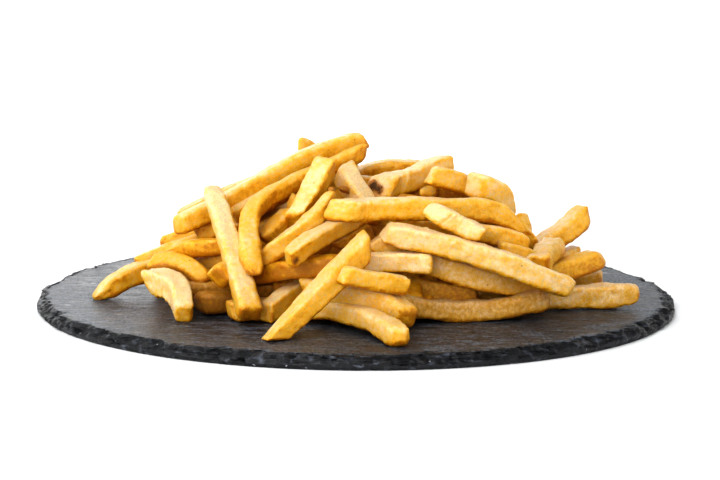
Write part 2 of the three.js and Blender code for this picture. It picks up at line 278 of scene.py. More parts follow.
def knapped(spot):
    """How much deeper than the plain slope the rim is broken there, in mm: flakes, splinters and layers."""
    warped = spot + Vector((2.5 * noise.noise(spot / 7), 2.5 * noise.noise(spot / 7 + Vector((9, 0, 0))), 0))
    flake, flake_own = scar(Vector((warped.x, warped.y, 1.9 * warped.z)), FLAKE_SIZE)
    splinter, splinter_own = scar(Vector((warped.x, warped.y, 1.5 * warped.z + 30)), SPLINTER_SIZE)
    layer = math.floor(spot.z / LAYER_HEIGHT + 1.2 * noise.noise(spot / 12))
    ledge = noise.cell(Vector((spot.x / 9, spot.y / 9, layer + 0.5)))
    depth = FLAKE_DEPTH * flake * (0.35 + 0.65 * flake_own) + SPLINTER_DEPTH * splinter * splinter_own
    return depth + LAYER_DEPTH * ledge + 0.3 * noise.noise(spot / 1.4), 1 - max(0.6 * flake, splinter)


board_shape = bmesh.new()
corners = [board_shape.verts.new((radius, 0, height)) for radius, height in rim_profile()]
edges = [board_shape.edges.new(pair) for pair in zip(corners, corners[1:])]
bmesh.ops.spin(
    board_shape, geom=corners + edges, cent=(0, 0, 0), axis=(0, 0, 1), dvec=(0, 0, 0),
    angle=math.tau, steps=RIM_STEPS, use_merge=True, use_duplicate=False)
bmesh.ops.remove_doubles(board_shape, verts=board_shape.verts, dist=1e-6)
rim_amounts = []
ridges = []
for vert in board_shape.verts:
    radius = math.hypot(vert.co.x, vert.co.y)
    angle = math.atan2(vert.co.y, vert.co.x)
    level = vert.co.z / BOARD_TOP
    spot = vert.co / MM
    broken, ridge = knapped(spot) if radius > 0.88 * BOARD_RADIUS else (0, 0)
    chip = chip_at(angle)
    if radius > TOP_EDGE - 1e-6:
        back = rim_set_back(level, chip) + (broken - BREAK_LEVEL) * min(1, 3 * level)
        radius = BOARD_RADIUS - max(0, back) * MM
        rim_amounts.append(1)
        ridges.append(ridge)
    elif level > 0.5:
        near_rim = min(1, max(0, (radius / TOP_EDGE - 0.93) / 0.07))
        radius -= near_rim ** 2 * max(0, chip + broken - BREAK_LEVEL) * MM
        steps = noise.fractal(Vector((spot.x / 60, spot.y / 22, 3)), 0.9, 2.1, 4) + 0.5 * near_rim ** 2
        sunk = CLEFT_RELIEF * max(0, math.floor(steps * CLEFT_STEPS) / CLEFT_STEPS)
        vert.co.z -= (min(CLEFT_DEEPEST, sunk) + 0.5 * near_rim ** 6 * broken) * MM
        rim_amounts.append(near_rim ** 8 * 0.7)
        ridges.append(0)
    else:
        rim_amounts.append(0.3)
        ridges.append(0)
    vert.co.x = radius * math.cos(angle)
    vert.co.y = radius * math.sin(angle)
bmesh.ops.recalc_face_normals(board_shape, faces=board_shape.faces)
board_mesh = bpy.data.meshes.new("slate_board_top")
board_shape.to_mesh(board_mesh)
board_shape.free()
board_mesh.attributes.new("rim", "FLOAT", "POINT").data.foreach_set("value", rim_amounts)
board_mesh.attributes.new("ridge", "FLOAT", "POINT").data.foreach_set("value", ridges)

SLATE_DARK = (0.021, 0.025, 0.032, 1)
SLATE_PALE = (0.13, 0.15, 0.185, 1)
SLATE_WARM = (0.085, 0.088, 0.096, 1)
SLATE_BROKEN = (0.003, 0.0033, 0.0045, 1)
SLATE_FRACTURE = (0.007, 0.008, 0.012, 1)
# The ridges' colour: partly rubbed stone, partly a painted highlight.
SLATE_RIDGE = (0.16, 0.175, 0.22, 1)
SLATE_DUST = (0.42, 0.43, 0.45, 1)
# Chalky scuffs on the top: the place in mm and the reach of each.
DUST_STREAKS = [(-128, 12, 9), (-104, -66, 5), (-131, -44, 4), (124, 52, 6), (136, 14, 5), (-112, 60, 6)]

slate, slate_shader, kit = new_finish("split_slate")
where = kit.add("ShaderNodeTexCoord").outputs["Object"]
grain = kit.noise(kit.stretched(where, (60, 170, 60)), 3, 5, 0.65)
streak = kit.noise(kit.stretched(where, (24, 70, 60)), 3, 4, 0.6)
glint = kit.noise(kit.stretched(where, (1, 0.5, 1)), 1100, 3, 0.7)
cloud = kit.noise(where, 14, 3)
warmth = kit.noise(kit.stretched(where, (1, 1, 1), (0.4, 0.1, 0)), 9, 2)
clefts = kit.noise(kit.stretched(where, (14, 46, 60)), 1.4, 5, 0.6)
steps = kit.math("DIVIDE", kit.math("FLOOR", kit.math("MULTIPLY", clefts, 22)), 22)
top_colour = kit.mix(kit.span(grain, 0.45, 0.68), SLATE_DARK, SLATE_PALE)
top_colour = kit.mix(kit.span(streak, 0.5, 0.58, 0, 0.9), top_colour, SLATE_PALE)
top_colour = kit.mix(kit.span(warmth, 0.45, 0.65, 0, 0.6), top_colour, SLATE_WARM)
top_colour = kit.mix(kit.span(cloud, 0.35, 0.65, 0, 0.5), top_colour, SLATE_DARK)
# Fine specks scale the top's colour from a quarter up to nearly twice as bright; the bright ones are painted
# glints.
top_colour = kit.scaled(top_colour, kit.span(glint, 0.36, 0.66, 0.25, 1.9))
fracture = kit.noise(where, 380, 5, 0.7)
rim_colour = kit.mix(kit.span(fracture, 0.42, 0.7), SLATE_BROKEN, SLATE_FRACTURE)
# Ridges between the scars painted paler and bluish: partly rubbed stone, partly a painted highlight.
ridge_wear_and_highlight = kit.span(kit.attribute("ridge"), 0.55, 0.95)
ridge_wear_and_highlight = kit.math("MULTIPLY", ridge_wear_and_highlight, kit.span(fracture, 0.4, 0.6))
rim_colour = kit.mix(kit.math("MULTIPLY", ridge_wear_and_highlight, 0.75), rim_colour, SLATE_RIDGE)
chalk = kit.noise(kit.stretched(where, (1, 1, 1), (0.2, 0.7, 0.3)), 420, 2, 0.5)
rim_colour = kit.mix(kit.span(chalk, 0.72, 0.76, 0, 0.8), rim_colour, SLATE_DUST)
rim_share = kit.attribute("rim")
stone_colour = kit.mix(rim_share, top_colour, rim_colour)
rubbed = kit.noise(kit.stretched(where, (60, 110, 60)), 3, 6, 0.75)
streak_share = 0.0
for x, y, reach in DUST_STREAKS:
    middle = (x * MM, y * MM, BOARD_TOP)
    offset = kit.add("ShaderNodeVectorMath", {0: where, 1: middle}, operation="SUBTRACT").outputs[0]
    turned = kit.add("ShaderNodeMapping", {0: offset, "Rotation": (0, 0, 0.5)}).outputs[0]
    flattened = kit.stretched(turned, (1 / (reach * MM), 2.6 / (reach * MM), 1))
    streak_share = kit.math("MAXIMUM", streak_share, kit.span(kit.length(flattened), 1, 0.2))
dust = kit.math("MULTIPLY", streak_share, kit.span(rubbed, 0.44, 0.58), clamp=True)
stone_colour = kit.mix(kit.math("MULTIPLY", dust, 0.85), stone_colour, SLATE_DUST)
kit.feed(slate_shader.inputs["Base Color"], stone_colour)
slate_shader.inputs["Specular IOR Level"].default_value = 0.5
top_roughness = kit.span(kit.math("ADD", grain, streak), 0.8, 1.25, 0.3, 0.55)
kit.feed(slate_shader.inputs["Roughness"], top_roughness)
slate_relief = kit.math("ADD", kit.math("MULTIPLY", grain, 0.8), kit.math("MULTIPLY", streak, 1.2))
slate_relief = kit.math("ADD", slate_relief, kit.math("MULTIPLY", steps, 4))
rim_relief = kit.math("MULTIPLY", fracture, kit.span(rim_share, 0, 1, 0.2, 1.3))
slate_relief = kit.math("ADD", slate_relief, rim_relief)
kit.feed(slate_shader.inputs["Normal"], kit.bump(slate_relief, 1, 0.5 * MM))

board = finished_object("slate_board_knapped", board_mesh, slate)
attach(board, "root")
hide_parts("slate_board")

# ---------- fries that show from the front ----------
# A few fries that lie in shade are given deeper gold and brown than their own skin, as painted shade.
# Sticks of potato cut square, fried until their corners and ends are golden, and laid over each other. Each
# row is one fry, in millimetres and degrees: how thick it is at its start and end, the path of its axis, and
# how golden its skin is (a pair where that fades from the start to the end).
#
# Most rows say more. brown: how browned the skin is. turn: of the section about the axis. rounding: of the
# corners. girth: the share of the thickness that is left at the start, middle and end. blunting: how much
# each end narrows. pointed, reach, lean: the end that runs to a point, over what length, and the side that
# stays straight. cuts: the slant of the start and of the end, each across and over. inset: how far the start
# and the end are drawn in (less than nought: drawn out). lumps: how uneven the skin is. burnt: the centre
# and reach of each charred spot. settled: how far the fry has slid from where it was laid, at its start and
# end, or at its start, middle and end.
LAID_FRIES = [
    # crown: two long fries that cross the top, and the short ones round them
    dict(thick=(9.6, 9.2), gold=0.42, rounding=3, cuts=(0.5, 0.2, 0.3, -0.4),
         settled=((-1.8, 0, -1), (0, 0, 0)),
         path=[(-81, -38, 42), (-56, -30, 53), (-26, -20, 69), (-8, -14, 76), (4, -10, 79)]),
    dict(thick=(8.5, 8.5), gold=0.5, brown=0.1,
         path=[(-81, -29, 43), (-66, -24, 50), (-46, -19, 58), (-22, -11, 64)]),
    dict(thick=(8.4, 10), gold=0.58, brown=0.05, rounding=3, girth=(0.97, 0.9, 0.95), pointed="end", reach=9,
         lean=(-0.6, 0), cuts=(0, -0.6, 0, 0), inset=(-0.5, 0), settled=((0.3, 0, -0.4), (0.5, 0, -1.4)),
         path=[(3, -22, 75), (-26, -36, 63), (-42, -50, 56), (-47, -60, 50), (-47, -72, 41), (-45, -85, 29)]),
    dict(thick=(9, 9), gold=0.3, rounding=2.4, blunting=(0.3, 0.1), settled=((-1.3, 0, 0), (0, 0, 0)),
         path=[(-28, -2, 76), (4, 12, 57)]),
    dict(thick=(10.4, 9.6), gold=0.34, turn=20, rounding=2, girth=(1, 0.95, 0.9),
         settled=((0.8, 0, 0), (2.1, 0, 0)), path=[(-14, -46, 72), (-30, -62, 46)]),
    dict(thick=(9, 9), gold=0.62, path=[(-8, -28, 62), (2, -42, 47)]),
    dict(thick=(8.6, 8.6), gold=0.1, girth=(1.12, 1.15, 1.1), settled=((-2.2, 0, -1.8), (-2.6, 0, 0)),
         path=[(-5, -36, 70), (4, -45, 56), (12, -50, 46)]),
    dict(thick=(9, 9), gold=0.55, brown=0.15, rounding=2.6, girth=(1.4, 1.35, 1.15),
         settled=((0, 0, -1.8), (0, 0, -1.6)), path=[(-8, 0, 50), (7, 2, 62), (21, 4, 64), (40, 8, 61)]),
    dict(thick=(9.6, 9.4), gold=0.1, rounding=1.9, girth=(1.15, 1.0, 0.88), blunting=(0, 0.3),
         cuts=(0.9, 0.5, 0, 0), inset=(2, 3), burnt=[(7.6, -33, 60.2, 3.4), (10.2, -34.6, 58.6, 2.8)],
         path=[(8, -35, 59), (24, -29, 62), (35, -24, 67), (46, -18, 70)]),
    dict(thick=(9.6, 10), gold=0.28, path=[(32, -40, 66), (41, -37, 64), (49, -33, 61), (62, -28, 55)]),
    dict(thick=(11, 10), gold=0.05, rounding=2.6, blunting=(0.05, 0.3), settled=((0, 0, 0), (-3.6, 0, -1)),
         path=[(51, -42, 62), (59, -39, 60), (66, -34, 55), (71, -27, 43)]),
    # Deep gold and brown: painted shade, for a fry that lies in shade under the crown.
    dict(thick=(9, 9), gold=1.0, brown=0.45, settled=((0, 0, -1), (0, 0, -1)),
         path=[(18, -46, 55), (62, -40, 50)]),
    dict(thick=(5, 6), gold=0.6, brown=0.4, path=[(-27, -44, 58), (-30, -46, 47)]),
    # middle: the long fries that lie across the front
    dict(thick=(10.2, 9.4), gold=0.36, brown=0.05, rounding=2.6, girth=(0.95, 1, 1), pointed="end",
         lean=(0, -1), cuts=(1.2, 0.2, 0, 0), inset=(5, 0),
         path=[(-13, -74, 54), (19, -68, 54), (41, -62, 53), (60, -54, 51), (76, -47, 44)]),
    dict(thick=(10.4, 9.6), gold=(0.34, 0.14), fades=True, girth=(0.92, 0.88, 0.82), cuts=(-0.3, 0.2, 0, 0),
         inset=(0, 0), burnt=[(-24.8, -95.3, 35.2, 3)], settled=((-2.2, 0, -1.4), (0.6, 0, -0.2)),
         path=[(-27, -92, 37), (-19, -84, 42), (-8, -68, 46), (2, -57, 50)]),
    dict(thick=(8.4, 9), gold=0.45, girth=(0.95, 0.88, 0.88), pointed="start",
         settled=((0.5, 0, -0.9), (0.5, 0, -0.8)),
         path=[(-11, -60, 62), (-19, -66, 51), (-30, -71, 42), (-43, -71, 31)]),
    dict(thick=(9, 9.5), gold=0.65, brown=0.2, path=[(-29, -49, 49), (-42, -60, 38)]),
    dict(thick=(9, 9), gold=0.6, brown=0.2, pointed="start", path=[(-12, -65, 37), (6, -53, 42)]),
    # Deep gold and brown: painted shade, for a fry in shade under those above it.
    dict(thick=(9.5, 9.5), gold=1.0, brown=0.2, rounding=2.6,
         path=[(-46, -64, 24), (-26, -77, 29), (-6, -82, 32)]),
    dict(thick=(9.6, 8), gold=0.0, rounding=3.4, blunting=(0.25, 0.1), cuts=(1, 0.5, 0.3, 0.2),
         inset=(2.5, 1), settled=((0, 0, -0.3), (0, 0, -0.3)),
         path=[(30, -73, 56), (44, -74, 49), (56, -76, 44)]),
    dict(thick=(9, 8.4), gold=0.25, brown=0.05, path=[(51, -58, 43), (67, -54, 40), (77, -50, 35)]),
    dict(thick=(8.6, 8.6), gold=0.3, brown=0.15, path=[(62, -63, 36), (78, -55, 30)]),
    dict(thick=(9, 9), gold=0.4, brown=0.1, path=[(14, -50, 44), (54, -42, 41)]),
    dict(thick=(9.6, 10), gold=0.06, brown=0.05, rounding=2.4, girth=(0.98, 1, 0.96), blunting=(0.1, 0.3),
         inset=(0, 1.4), lumps=1.5, settled=((0, 0, -0.6), (-0.8, 0, 0.9)),
         path=[(12, -76, 46), (36, -79, 41), (63, -79, 33), (81, -75, 25), (95, -67, 18)]),
    dict(thick=(9.5, 10), gold=0.3, brown=0.4, pointed="end", lumps=1.5,
         path=[(6, -73, 42), (19, -71, 36), (50, -72, 26), (64, -68, 22), (80, -59, 17)]),
    dict(thick=(8.4, 8.4), gold=0.06, cuts=(0, 0, 0, 0), inset=(0, 1.8), settled=((0, 0, 0), (1.5, 0, -0.6)),
         path=[(2, -78, 32), (33, -83, 33)]),
    # foot of the front
    dict(thick=(10.6, 11.2), gold=0.45, brown=0.05, rounding=2.3, girth=(0.68, 0.86, 0.9), blunting=(0, 0.1),
         cuts=(0, -1.25, -0.35, 0.8), inset=(0.5, 2.2), settled=((1.85, 0, -1.95), (1.2, 0, -0.3)),
         path=[(-36, -120, 8), (5, -92, 44)]),
    dict(thick=(9, 9), gold=0.28, settled=((-2, 0, -1.8), (0, 0, 0)),
         path=[(-38, -85, 12), (-24, -70, 19), (-12, -55, 26)]),
    dict(thick=(8.6, 8), gold=0.28, rounding=2.1, blunting=(0.1, 0.0), cuts=(0, 0.2, 0, 0), inset=(0, 1.6),
         path=[(-6, -110, 32), (6, -105, 29), (23, -98, 25)]),
    dict(thick=(9.4, 10), gold=0.4, brown=0.15, settled=((0, 0, 0), (-0.8, 0, -0.6)),
         path=[(-22, -80, 21), (6, -96, 20), (18, -101, 16), (23, -106, 13)]),
    dict(thick=(9, 10.4), gold=0.36, brown=0.05, rounding=3.5, blunting=(0.1, 0.45),
         settled=((0, -1, 0), (0, -4, 0)),
         path=[(-24, -77, 12), (-7, -90, 13), (6, -106, 13), (15, -121, 11), (19, -131, 11)]),
    dict(thick=(9, 9), gold=0.5, brown=0.35, path=[(-56, -80, 11), (-29, -73, 11)]),
    dict(thick=(8, 8), gold=0.8, brown=0.9, path=[(-46, -64, 16), (-20, -61, 15)]),
    # Dark brown: partly its own browning, partly painted shade.
    dict(thick=(11, 9.5), gold=0.9, brown=1.3, rounding=3.4, blunting=(0.4, 0.4),
         path=[(-72, -68, 12), (-44, -63, 11)]),
    dict(thick=(10, 9), gold=0.5, brown=0.15, turn=40, inset=(1.5, 0), settled=((1, 0, 0), (0, 0, 0)),
         path=[(-62, -80, 25), (-46, -50, 26)]),
    # Dark brown: partly its own browning, partly painted shade.
    dict(thick=(8, 8), gold=0.7, brown=1.1, path=[(-82, -58, 15), (-54, -53, 16)]),
    dict(thick=(8.5, 8.5), gold=0.35, brown=0.75, rounding=2.6, blunting=(0.2, 0.35), lumps=1.6,
         path=[(14, -88, 17), (28, -81, 13), (41, -77, 11), (59, -75, 11), (75, -70, 13), (85, -64, 14)]),
    # Deep gold and brown: partly its own browning, partly painted shade.
    dict(thick=(9, 8), gold=0.7, brown=0.8, path=[(14, -64, 22), (37, -68, 18), (53, -66, 16)]),
    dict(thick=(8, 8), gold=0.4, brown=0.6, path=[(51, -60, 15), (72, -54, 15)]),
    # left side
    dict(thick=(7.6, 9.6), gold=(0.16, 0.42), fades=True, rounding=2.6, girth=(1.15, 1.1, 1.05),
         blunting=(0.2, 0), cuts=(0, 0, 0, 0), inset=(1.5, -2.2), settled=((0, 0, 0), (-0.8, 0, -0.4)),
         path=[(-66, -40, 60), (-57, -62, 42), (-45, -91, 13)]),
    dict(thick=(9, 9), gold=0.35, brown=0.1, path=[(-56, -37, 46), (-36, -31, 56)]),
    dict(thick=(7, 9), gold=0.45, girth=(1.3, 1.12, 1), pointed="start", reach=12, lean=(0, -1),
         path=[(-122, -31, 9), (-112, -26, 12), (-99, -18, 17), (-76, -8, 18)]),
    dict(thick=(9, 9), gold=0.55, rounding=2.4, settled=((3, 0, -2.5), (0, 0, 0)),
         path=[(-106, -12, 21), (-92, -13, 26), (-73, -17, 32), (-58, -22, 38)]),
    dict(thick=(8, 8.5), gold=0.65, path=[(-92, 0, 27), (-60, -8, 38)]),
    dict(thick=(9, 9), gold=0.62, path=[(-73, -28, 36), (-60, -31, 41)]),
    dict(thick=(8, 9.6), gold=0.68, pointed="start", path=[(-87, -36, 29), (-76, -41, 32), (-46, -53, 36)]),
    dict(thick=(9.6, 9.6), gold=0.75, brown=0.05, turn=45, rounding=3.1, girth=(1, 0.95, 0.9),
         blunting=(0.35, 0.2), settled=((0, 0, -0.6), (-1.5, 0, -2.6)),
         path=[(-94, -42, 25), (-81, -45, 27), (-72, -49, 25), (-65, -53, 20)]),
    dict(thick=(9.6, 9), gold=0.12, girth=(1.25, 1.1, 0.94), lumps=2,
         settled=((0, 0, 0), (3, 0, 3.4), (0.8, -2, 0)),
         path=[(-93, -60, 20), (-84, -66, 17), (-78, -74, 13), (-75, -83, 9)]),
    dict(thick=(9, 9), gold=0.45, brown=0.3, path=[(-72, -35, 22), (-54, -47, 27)]),
    # right side
    dict(thick=(7.6, 8.6), gold=0.5, brown=0.1, settled=((-1.2, 0, 0), (-0.8, 0, 0)),
         path=[(74, -38, 48), (77, -40, 40), (80, -39, 30)]),
    dict(thick=(9.6, 10.6), gold=0.42, brown=0.05, rounding=2.6, blunting=(0, 0.25), cuts=(0, 0, 0, 0.5),
         inset=(0, -1), settled=((1, 0, -2), (-1.4, 0, 1.4)),
         path=[(76, -25, 27), (97, -15, 37), (108, -10, 43)]),
    dict(thick=(10.2, 10.2), gold=0.35, brown=0.1, rounding=2.8, girth=(0.95, 0.9, 0.9), inset=(6, 0),
         lumps=2, settled=((-1.8, 0, -4.5), (-2.8, 0, 0.5)), path=[(80, -68, 32), (94, -32, 33)]),
    dict(thick=(8, 8), gold=0.4, brown=0.2, path=[(84, -30, 21), (104, -11, 26)]),
    dict(thick=(10, 10.6), gold=0.6, brown=0.1, rounding=3.2, girth=(1, 1, 0.9), blunting=(0.1, 0.5),
         settled=((0, 0, 0), (-1.7, 0, 0)), path=[(82, -47, 21), (103, -36, 25), (115, -29, 28)]),
    dict(thick=(8.6, 8), gold=0.4, brown=0.3, path=[(78, -27, 13), (115, -22, 16)]),
    dict(thick=(10.8, 10.8), gold=0.26, brown=0.35, rounding=2.6, girth=(1, 0.97, 0.95), blunting=(0, 0.25),
         cuts=(0, 0, 0.1, 0), inset=(0, 2.8), lumps=2, path=[(82, -47, 12), (107, -44, 12), (130, -42, 13)]),
]

# How finely a fry is divided: mm between the rings along it, cuts across each side, steps round a corner.
FINELY = (1.05, 5, 4)
COARSELY = (6, 1, 2)
CORNER_WORN = 0.78  # the share of a corner's rounding that frying leaves
POINT_REACH = 15
POINT_SIZE = (0.6, 0.26)
EDGE_REACH = 2.8  # mm over which a corner's crust fades out
END_REACH = 6  # mm over which the skin deepens towards a cut end, and by how much
END_GOLD = 0.16
TABLE_STEP = 0.5  # mm between the frames kept along a path
REST_LEVEL = BOARD_TOP / MM + 0.05
shaping = random.Random(11)


def path_places(path, per_stretch):
    """Points along a path: straight between two points, else a centripetal Catmull-Rom curve through them."""
    points = [Vector(point) for point in path]
    if len(points) == 2:
        return [points[0].lerp(points[1], step / per_stretch) for step in range(per_stretch + 1)]
    points = [2 * points[0] - points[1]] + points + [2 * points[-1] - points[-2]]
    places = []
    for before, start, stop, after in zip(points, points[1:], points[2:], points[3:]):
        lead = (start - before).length ** 0.5
        main = (stop - start).length ** 0.5
        tail = (after - stop).length ** 0.5
        leaving = main * ((start - before) / lead - (stop - before) / (lead + main) + (stop - start) / main)
        coming = main * ((stop - start) / main - (after - start) / (main + tail) + (after - stop) / tail)
        for step in range(per_stretch):
            t = step / per_stretch
            bend = (2 * start - 2 * stop + leaving + coming) * t ** 3
            bend += (3 * stop - 3 * start - 2 * leaving - coming) * t ** 2
            places.append(start + leaving * t + bend)
    return places + [points[-2]]


class Route:
    """The path of a fry's axis, measured by the distance from its start."""

    def __init__(self, path):
        self.places = path_places(path, 60)
        self.distances = [0]
        for start, stop in zip(self.places, self.places[1:]):
            self.distances.append(self.distances[-1] + (stop - start).length)
        self.length = self.distances[-1]
        self.kept = {}

    def frame_at(self, distance):
        """The place on the axis, the side and the upward direction there; past an end it runs straight on."""
        slot = round(distance / TABLE_STEP)
        if slot not in self.kept:
            self.kept[slot] = self.measured(slot * TABLE_STEP)
        place, side, up, along = self.kept[slot]
        return place + along * (distance - slot * TABLE_STEP), side, up

    def measured(self, distance):
        index = 0
        while index < len(self.places) - 2 and self.distances[index + 1] < distance:
            index += 1
        start, stop = self.places[index], self.places[index + 1]
        along = (stop - start).normalized()
        nearby = self.places[max(0, index - 4)], self.places[min(len(self.places) - 1, index + 5)]
        heading = (nearby[1] - nearby[0]).normalized()
        side = heading.cross(Vector((0, 0, 1))).normalized()
        return start + along * (distance - self.distances[index]), side, side.cross(heading), heading


def square_stick(length, wide, high, rounding, fineness):
    """A straight stick along Y with rounded corners, divided so that it can be bent and wrinkled."""
    ring_spacing, cross_cuts, corner_segments = fineness
    stick = bmesh.new()
    bmesh.ops.create_cube(stick, size=1)
    bmesh.ops.scale(stick, vec=(wide, length, high), verts=stick.verts)
    bmesh.ops.bevel(
        stick, geom=stick.edges[:], offset=rounding, offset_type="OFFSET", affect="EDGES",
        segments=corner_segments, profile=0.5, material=-1, clamp_overlap=True)

    def edges_along(axis, least):
        return [e for e in stick.edges if abs(e.verts[0].co[axis] - e.verts[1].co[axis]) > least]

    bmesh.ops.subdivide_edges(stick, edges=edges_along(0, wide / 2), cuts=cross_cuts, use_grid_fill=True)
    bmesh.ops.subdivide_edges(stick, edges=edges_along(2, high / 2), cuts=cross_cuts, use_grid_fill=True)
    rings = max(2, round(length / ring_spacing))
    bmesh.ops.subdivide_edges(stick, edges=edges_along(1, length / 2), cuts=rings, use_grid_fill=True)
    stick.normal_update()
    return stick


SWELL = 0.55  # mm that each kind of relief stands out, and below the mm from one bump to the next
WRINKLE = 0.2
PEBBLE = 0.17
BLISTER = 0.8
CRAG = 0.36
SWELL_SPACING = 9
PEBBLE_SPACING = 1.5
BLISTER_SPACING = 3
CRAG_SPACING = 2.6


def skin_relief(spot, edge, lumps):
    """How far the fried skin stands out, in mm: broad swells, wrinkles, blisters and craggy corners."""
    swell = SWELL * noise.noise(spot / SWELL_SPACING)
    wrinkle = WRINKLE * noise.noise(Vector((spot.x / 3.4, spot.y / 5.5, spot.z / 3.4)))
    fine = PEBBLE * noise.noise(spot / PEBBLE_SPACING)
    blister = BLISTER * max(0, noise.noise(spot / BLISTER_SPACING + Vector((40, 0, 0))) - 0.4)
    crag = CRAG * edge * noise.noise(spot / CRAG_SPACING + Vector((0, 60, 0)))
    return lumps * (swell + wrinkle + fine + blister) + crag


def settled_path(fry):
    """A fry's path with each point moved as far as the fry has sunk or slid there."""
    shifts = [Vector(shift) for shift in fry.get("settled", ((0, 0, 0), (0, 0, 0)))]
    moved = []
    for index, point in enumerate(fry["path"]):
        reach = index / (len(fry["path"]) - 1) * (len(shifts) - 1)
        before = min(int(reach), len(shifts) - 2)
        moved.append(Vector(point) + shifts[before].lerp(shifts[before + 1], reach - before))
    return moved


class Batch:
    """Fries of one kind on the way to one mesh: their corners, and what the skin needs to know at each."""

    def __init__(self, name, fineness):
        self.name = name
        self.fineness = fineness
        self.shape = bmesh.new()
        self.place = []
        self.looks = []
        self.edge = []

    def add(self, fry):
        """A stick shaped, wrinkled and bent along its path, resting on the board where it reaches it."""
        route = Route(settled_path(fry))
        thick = sum(fry["thick"]) / 2
        wide = thick * shaping.uniform(0.92, 1.04)
        high = thick * shaping.uniform(0.92, 1.04)
        rounding = CORNER_WORN * fry.get("rounding", shaping.uniform(1.9, 2.5))
        stick = square_stick(route.length, wide, high, rounding, self.fineness)
        cuts = fry.get("cuts", [shaping.uniform(-0.5, 0.5) for _ in range(4)])
        twist = math.radians(shaping.uniform(-9, 9))
        sink = shaping.uniform(-0.3, 0.3)
        shear = shaping.uniform(-0.13, 0.13)
        flare = shaping.uniform(-0.1, 0.1)
        blunting = fry.get("blunting", [shaping.uniform(0, 0.16) for _ in range(2)])
        blunt_reach = [shaping.uniform(4, 9) for _ in range(2)]
        lumps = fry.get("lumps", shaping.uniform(0.8, 1.4))
        bow = shaping.uniform(-0.8, 0.8), shaping.uniform(-0.6, 0.6)
        own = Vector((shaping.uniform(-900, 900), shaping.uniform(-900, 900), shaping.uniform(-900, 900)))
        turn = math.radians(fry.get("turn", 0))
        lean = fry.get("lean", (0, 0))
        girth = fry.get("girth", (1, 1, 1))
        inset = fry.get("inset", [thick / 4 * (abs(cuts[end]) + abs(cuts[end + 1])) for end in (0, 2)])
        point_reach = fry.get("reach", POINT_REACH)
        for vert in stick.verts:
            x, y, z = vert.co
            distance = y + route.length / 2
            share = min(1, max(0, distance / route.length))
            gaps = sorted((wide / 2 - abs(x), high / 2 - abs(z), route.length / 2 - abs(y)))
            edge = max(0, 1 - gaps[1] / EDGE_REACH)
            spot = Vector((x, distance, z)) + own
            hollow = sink * (1 - edge) * (0.6 + 0.9 * noise.noise(Vector((distance / 14, own.z, 7))))
            relief = skin_relief(spot, edge, lumps) - hollow * (gaps[0] < 0.8)
            x, y, z = vert.co + vert.normal * relief
            distance = y + route.length / 2
            size = (fry["thick"][0] * (1 - share) + fry["thick"][1] * share) / thick
            half = 0 if share < 0.5 else 1
            size *= girth[half] + (girth[half + 1] - girth[half]) * (2 * share - half)
            x *= size * (1 + 0.08 * noise.noise(Vector((distance / 17, own.x, own.y))) + flare * z / high)
            z *= size * (1 + 0.08 * noise.noise(Vector((distance / 17, own.y, own.x))))
            x += shear * z + bow[0] * 4 * share * (1 - share)
            z += bow[1] * 4 * share * (1 - share)
            for end, toward in enumerate((distance, route.length - distance)):
                if fry.get("pointed") == ("start", "end")[end]:
                    taper = min(1, max(0, toward) / point_reach)
                    narrow = [small + (1 - small) * taper ** 0.85 for small in POINT_SIZE]
                    x = x * narrow[0] + lean[0] * wide / 2 * (1 - narrow[0])
                    z = z * narrow[1] + lean[1] * high / 2 * (1 - narrow[1])
                elif toward < blunt_reach[end]:
                    blunt = 1 - blunting[end] * (1 - max(0, toward) / blunt_reach[end]) ** 2
                    x *= blunt
                    z *= blunt
            start_share = max(0, 1 - distance / (2 * thick))
            end_share = max(0, 1 - (route.length - distance) / (2 * thick))
            distance += start_share * (cuts[0] * x + cuts[1] * z + inset[0])
            distance += end_share * (cuts[2] * x + cuts[3] * z - inset[1])
            angle = turn + twist * (share - 0.5)
            across = x * math.cos(angle) - z * math.sin(angle)
            over = x * math.sin(angle) + z * math.cos(angle)
            place, side, up = route.frame_at(distance)
            vert.co = place + side * across + up * over
            burn = self.burn_at(vert.co, fry)
            crumbled = [noise.noise(vert.co / 1.7 + Vector((0, 0, 31 * axis))) for axis in range(3)]
            vert.co += 1.6 * burn * Vector(crumbled)
            vert.co.z = max(REST_LEVEL, vert.co.z)
            self.place.extend(spot)
            gold = fry["gold"]
            if fry.get("fades"):
                gold = gold[0] * (1 - share) + gold[1] * share
            ending = max(0, 1 - max(0, min(distance, route.length - distance)) / END_REACH)
            self.looks.extend((gold + END_GOLD * ending ** 1.5, fry.get("brown", 0), burn))
            self.edge.append(edge)
        bmesh.ops.scale(stick, vec=(MM, MM, MM), verts=stick.verts)
        lump = bpy.data.meshes.new("stick")
        stick.to_mesh(lump)
        stick.free()
        self.shape.from_mesh(lump)
        bpy.data.meshes.remove(lump)

    def burn_at(self, place, fry):
        """How charred the skin is there: full in the middle of a burnt spot, none outside it."""
        burn = 0
        for x, y, z, reach in fry.get("burnt", []):
            burn = max(burn, 1 - (place - Vector((x, y, z))).length / reach)
        return burn

    def finished(self, material):
        mesh = bpy.data.meshes.new(self.name)
        self.shape.to_mesh(mesh)
        self.shape.free()
        mesh.attributes.new("place", "FLOAT_VECTOR", "POINT").data.foreach_set("vector", self.place)
        mesh.attributes.new("looks", "FLOAT_VECTOR", "POINT").data.foreach_set("vector", self.looks)
        mesh.attributes.new("edge", "FLOAT", "POINT").data.foreach_set("value", self.edge)
        # How far each point of the skin faces up and to the left, towards the lamps: 1 up, 0 down. The skin
        # is painted paler where it faces up, a painted highlight, and deeper golden where it faces down,
        # painted shade.
        painted_lit_facing = [min(1, max(0, 0.5 + 0.8 * vert.normal.z - 0.25 * vert.normal.x)) for vert in mesh.vertices]
        mesh.attributes.new("painted_lit_facing", "FLOAT", "POINT").data.foreach_set("value", painted_lit_facing)
        return finished_object(self.name, mesh, material)


